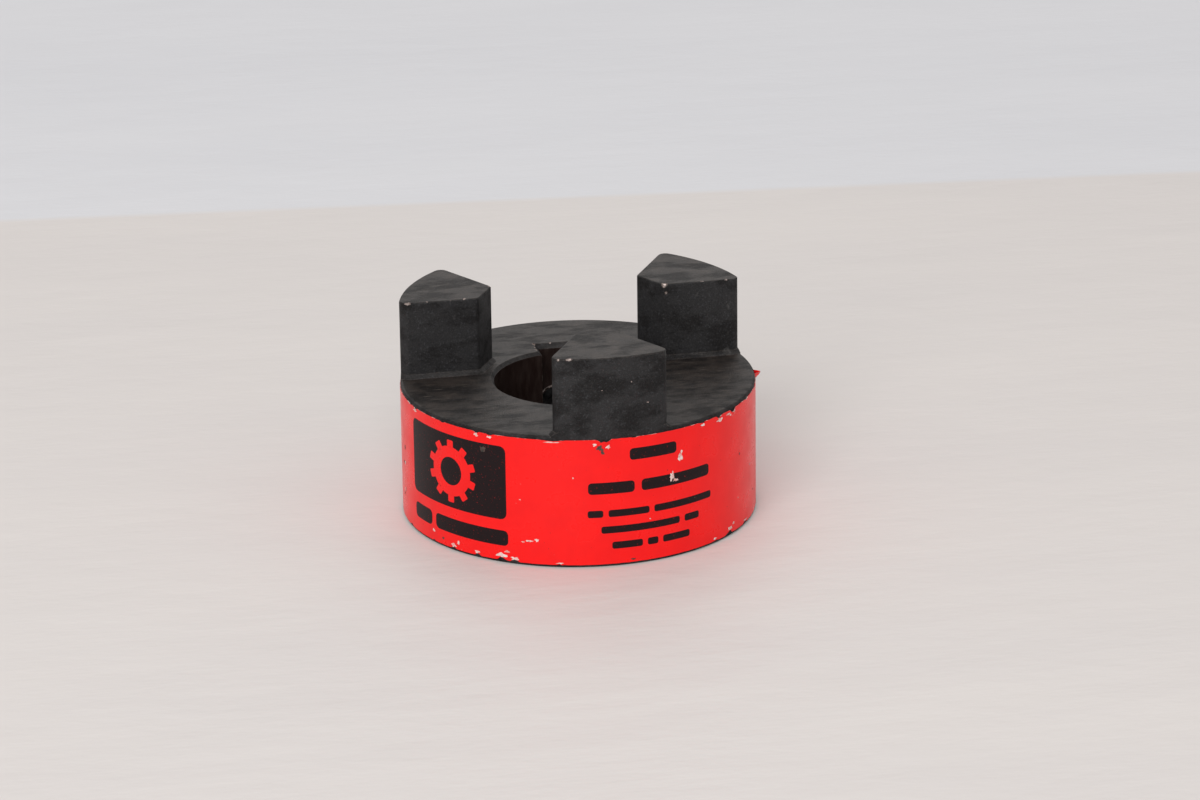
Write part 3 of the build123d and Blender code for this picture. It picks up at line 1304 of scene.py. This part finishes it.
def finish_red(material):
    """Glossy red film over paper and glue."""
    tree, shader, place = open_material(material)
    cloud = spread(tree, grain(tree, place, 0.25, 4, 0.55), 0.35, 0.65)
    colour = blended(tree, cloud, FILM_RED, (0.80, 0.0050, 0.0055))
    specks = spread(tree, grain(tree, place, 2.2, 2, 0.5), 0.745, 0.775)
    colour = tinted(tree, colour, specks, 0.7, (0.16, 0.015, 0.012))
    flecks = spread(tree, grain(tree, stretched(tree, place, (1, 1, 1.3)), 1.7, 2, 0.5), 0.765, 0.785)
    colour = tinted(tree, colour, flecks, 0.6, (0.70, 0.25, 0.22))
    shader.inputs["Specular IOR Level"].default_value = 0.26
    bump = raised(tree, grain(tree, place, 0.22, 2, 0.4), 0.00003)
    bump = raised(tree, grain(tree, place, 5.0, 3, 0.6), 0.000004, bump)
    dress(tree, shader, colour, spread(tree, cloud, 0, 1, 0.25, 0.35), bump)


def finish_ink(material):
    """Black ink with pinholes and thin places."""
    tree, shader, place = open_material(material)
    thin = spread(tree, grain(tree, place, 3.5, 4, 0.7), 0.62, 0.72)
    colour = blended(tree, thin, INK_BLACK, (0.30, 0.012, 0.010))
    shader.inputs["Specular IOR Level"].default_value = 0.15
    bump = raised(tree, grain(tree, place, 6.0, 2), 0.000004)
    dress(tree, shader, colour, spread(tree, thin, 0, 1, 0.42, 0.34), bump)


def finish_torn_paper(material):
    """Off-white fibres, stained in patches."""
    tree, shader, place = open_material(material)
    fibre = grain(tree, stretched(tree, place, (1, 1, 2.2)), 5.0, 4, 0.7)
    stain = spread(tree, grain(tree, place, 1.3, 4, 0.6), 0.38, 0.62)
    colour = blended(tree, stain, (0.74, 0.68, 0.65), (0.66, 0.27, 0.24))
    dirt = spread(tree, grain(tree, place, 2.1, 3, 0.6), 0.60, 0.72)
    colour = blended(tree, dirt, colour, (0.20, 0.14, 0.13))
    dress(tree, shader, colour, spread(tree, fibre, 0.3, 0.7, 0.75, 0.95), raised(tree, fibre, 0.00002))


def finish_grease(material):
    """Dark olive film, a little shiny."""
    tree, shader, place = open_material(material)
    patches = spread(tree, grain(tree, place, 2.5, 4, 0.6), 0.35, 0.65)
    colour = blended(tree, patches, (0.012, 0.013, 0.010), (0.085, 0.045, 0.035))
    bump = raised(tree, grain(tree, place, 6.0, 2), 0.000006)
    dress(tree, shader, colour, spread(tree, patches, 0, 1, 0.4, 0.6), bump)


def finish_paper_edge(material):
    """The strip's cut edge: red that has soaked in, broken by pale and dirty stretches."""
    tree, shader, place = open_material(material)
    pale = spread(tree, grain(tree, place, 0.9, 4, 0.65), 0.52, 0.60)
    colour = blended(tree, pale, (0.34, 0.030, 0.028), (0.70, 0.55, 0.50))
    dirt = spread(tree, grain(tree, place, 1.7, 3, 0.6), 0.50, 0.62)
    colour = blended(tree, dirt, colour, (0.10, 0.04, 0.04))
    bump = raised(tree, grain(tree, place, 6.0, 3), 0.00002)
    dress(tree, shader, colour, spread(tree, pale, 0, 1, 0.6, 0.9), bump)


finish_red(red_paper)
finish_red(sign_red)
finish_paper_edge(paper_edge)
finish_grease(grease)
finish_ink(ink)
finish_torn_paper(torn_paper)
print("finished", red_paper.name, ink.name, torn_paper.name)

# %% [markdown]
# ## Floor
# The object stands on a pale sheet whose far edge gives way to a cooler ground. Both are one
# plane. Its material changes across a soft line on the floor behind the object.

# %% Lay the floor
FLOOR_SIZE = 6.0
FAR_EDGE = 0.157
EDGE_SLOPE = 0.10
EDGE_BLUR = 0.0012


def make_floor():
    """A large plane."""
    bpy.ops.object.select_all(action="DESELECT")
    bpy.ops.mesh.primitive_plane_add(size=FLOOR_SIZE)
    floor = bpy.context.object
    floor.name = "floor"
    return floor


def finish_floor(material):
    """Warm white sheet, faintly creased, with cooler ground beyond its edge."""
    material.use_nodes = True
    tree = material.node_tree
    shader = tree.nodes["Principled BSDF"]
    coordinates = tree.nodes.new("ShaderNodeTexCoord")
    place = coordinates.outputs["Object"]
    across = tree.nodes.new("ShaderNodeVectorMath")
    across.operation = "DOT_PRODUCT"
    across.inputs[1].default_value = (EDGE_SLOPE, 1, 0)
    tree.links.new(place, across.inputs[0])
    distance = across.outputs["Value"]
    beyond = spread(tree, distance, FAR_EDGE - EDGE_BLUR, FAR_EDGE + EDGE_BLUR)
    cloud = spread(tree, grain(tree, stretched(tree, place, (6, 22, 1)), 1.0, 4, 0.6), 0.35, 0.65)
    near = blended(tree, cloud, (0.655, 0.622, 0.604), (0.682, 0.648, 0.625))
    far = blended(tree, cloud, (0.660, 0.665, 0.690), (0.682, 0.686, 0.708))
    colour = blended(tree, beyond, near, far)
    bump = raised(tree, grain(tree, stretched(tree, place, (40, 90, 1)), 1.0, 4, 0.6), 0.0004)
    dress(tree, shader, colour, spread(tree, cloud, 0, 1, 0.55, 0.7), bump)


floor = make_floor()
pale_sheet = bpy.data.materials.new("pale_sheet")
finish_floor(pale_sheet)
floor.data.materials.append(pale_sheet)
print("floor", FLOOR_SIZE, "m across")

# %% [markdown]
# ## Light
# A bright, soft room: the world gives an even pale light, a wide panel hangs high at the back,
# and a large panel stands at the front left, above the camera. Large panels keep shadows faint.

# %% Light the scene
WORLD_COLOUR = (1.0, 0.975, 0.965, 1)
WORLD_STRENGTH = 0.62


def add_panel(name, place, size, power):
    """A square soft light that looks at the object."""
    data = bpy.data.lights.new(name, "AREA")
    data.size = size
    data.energy = power
    panel = bpy.data.objects.new(name, data)
    bpy.context.scene.collection.objects.link(panel)
    panel.location = place
    panel.rotation_euler = (CAMERA_AIM - Vector(place)).to_track_quat("-Z", "Y").to_euler()


world = bpy.data.worlds.new("studio")
bpy.context.scene.world = world
world.use_nodes = True
sky = world.node_tree.nodes["Background"]
sky.inputs["Color"].default_value = WORLD_COLOUR
sky.inputs["Strength"].default_value = WORLD_STRENGTH
add_panel("key_panel", (-0.45, -1.05, 0.75), 0.9, 13.0)
add_panel("back_panel", (0.1, 1.1, 1.3), 1.2, 4.0)
print("lights", [item.name for item in bpy.data.lights])
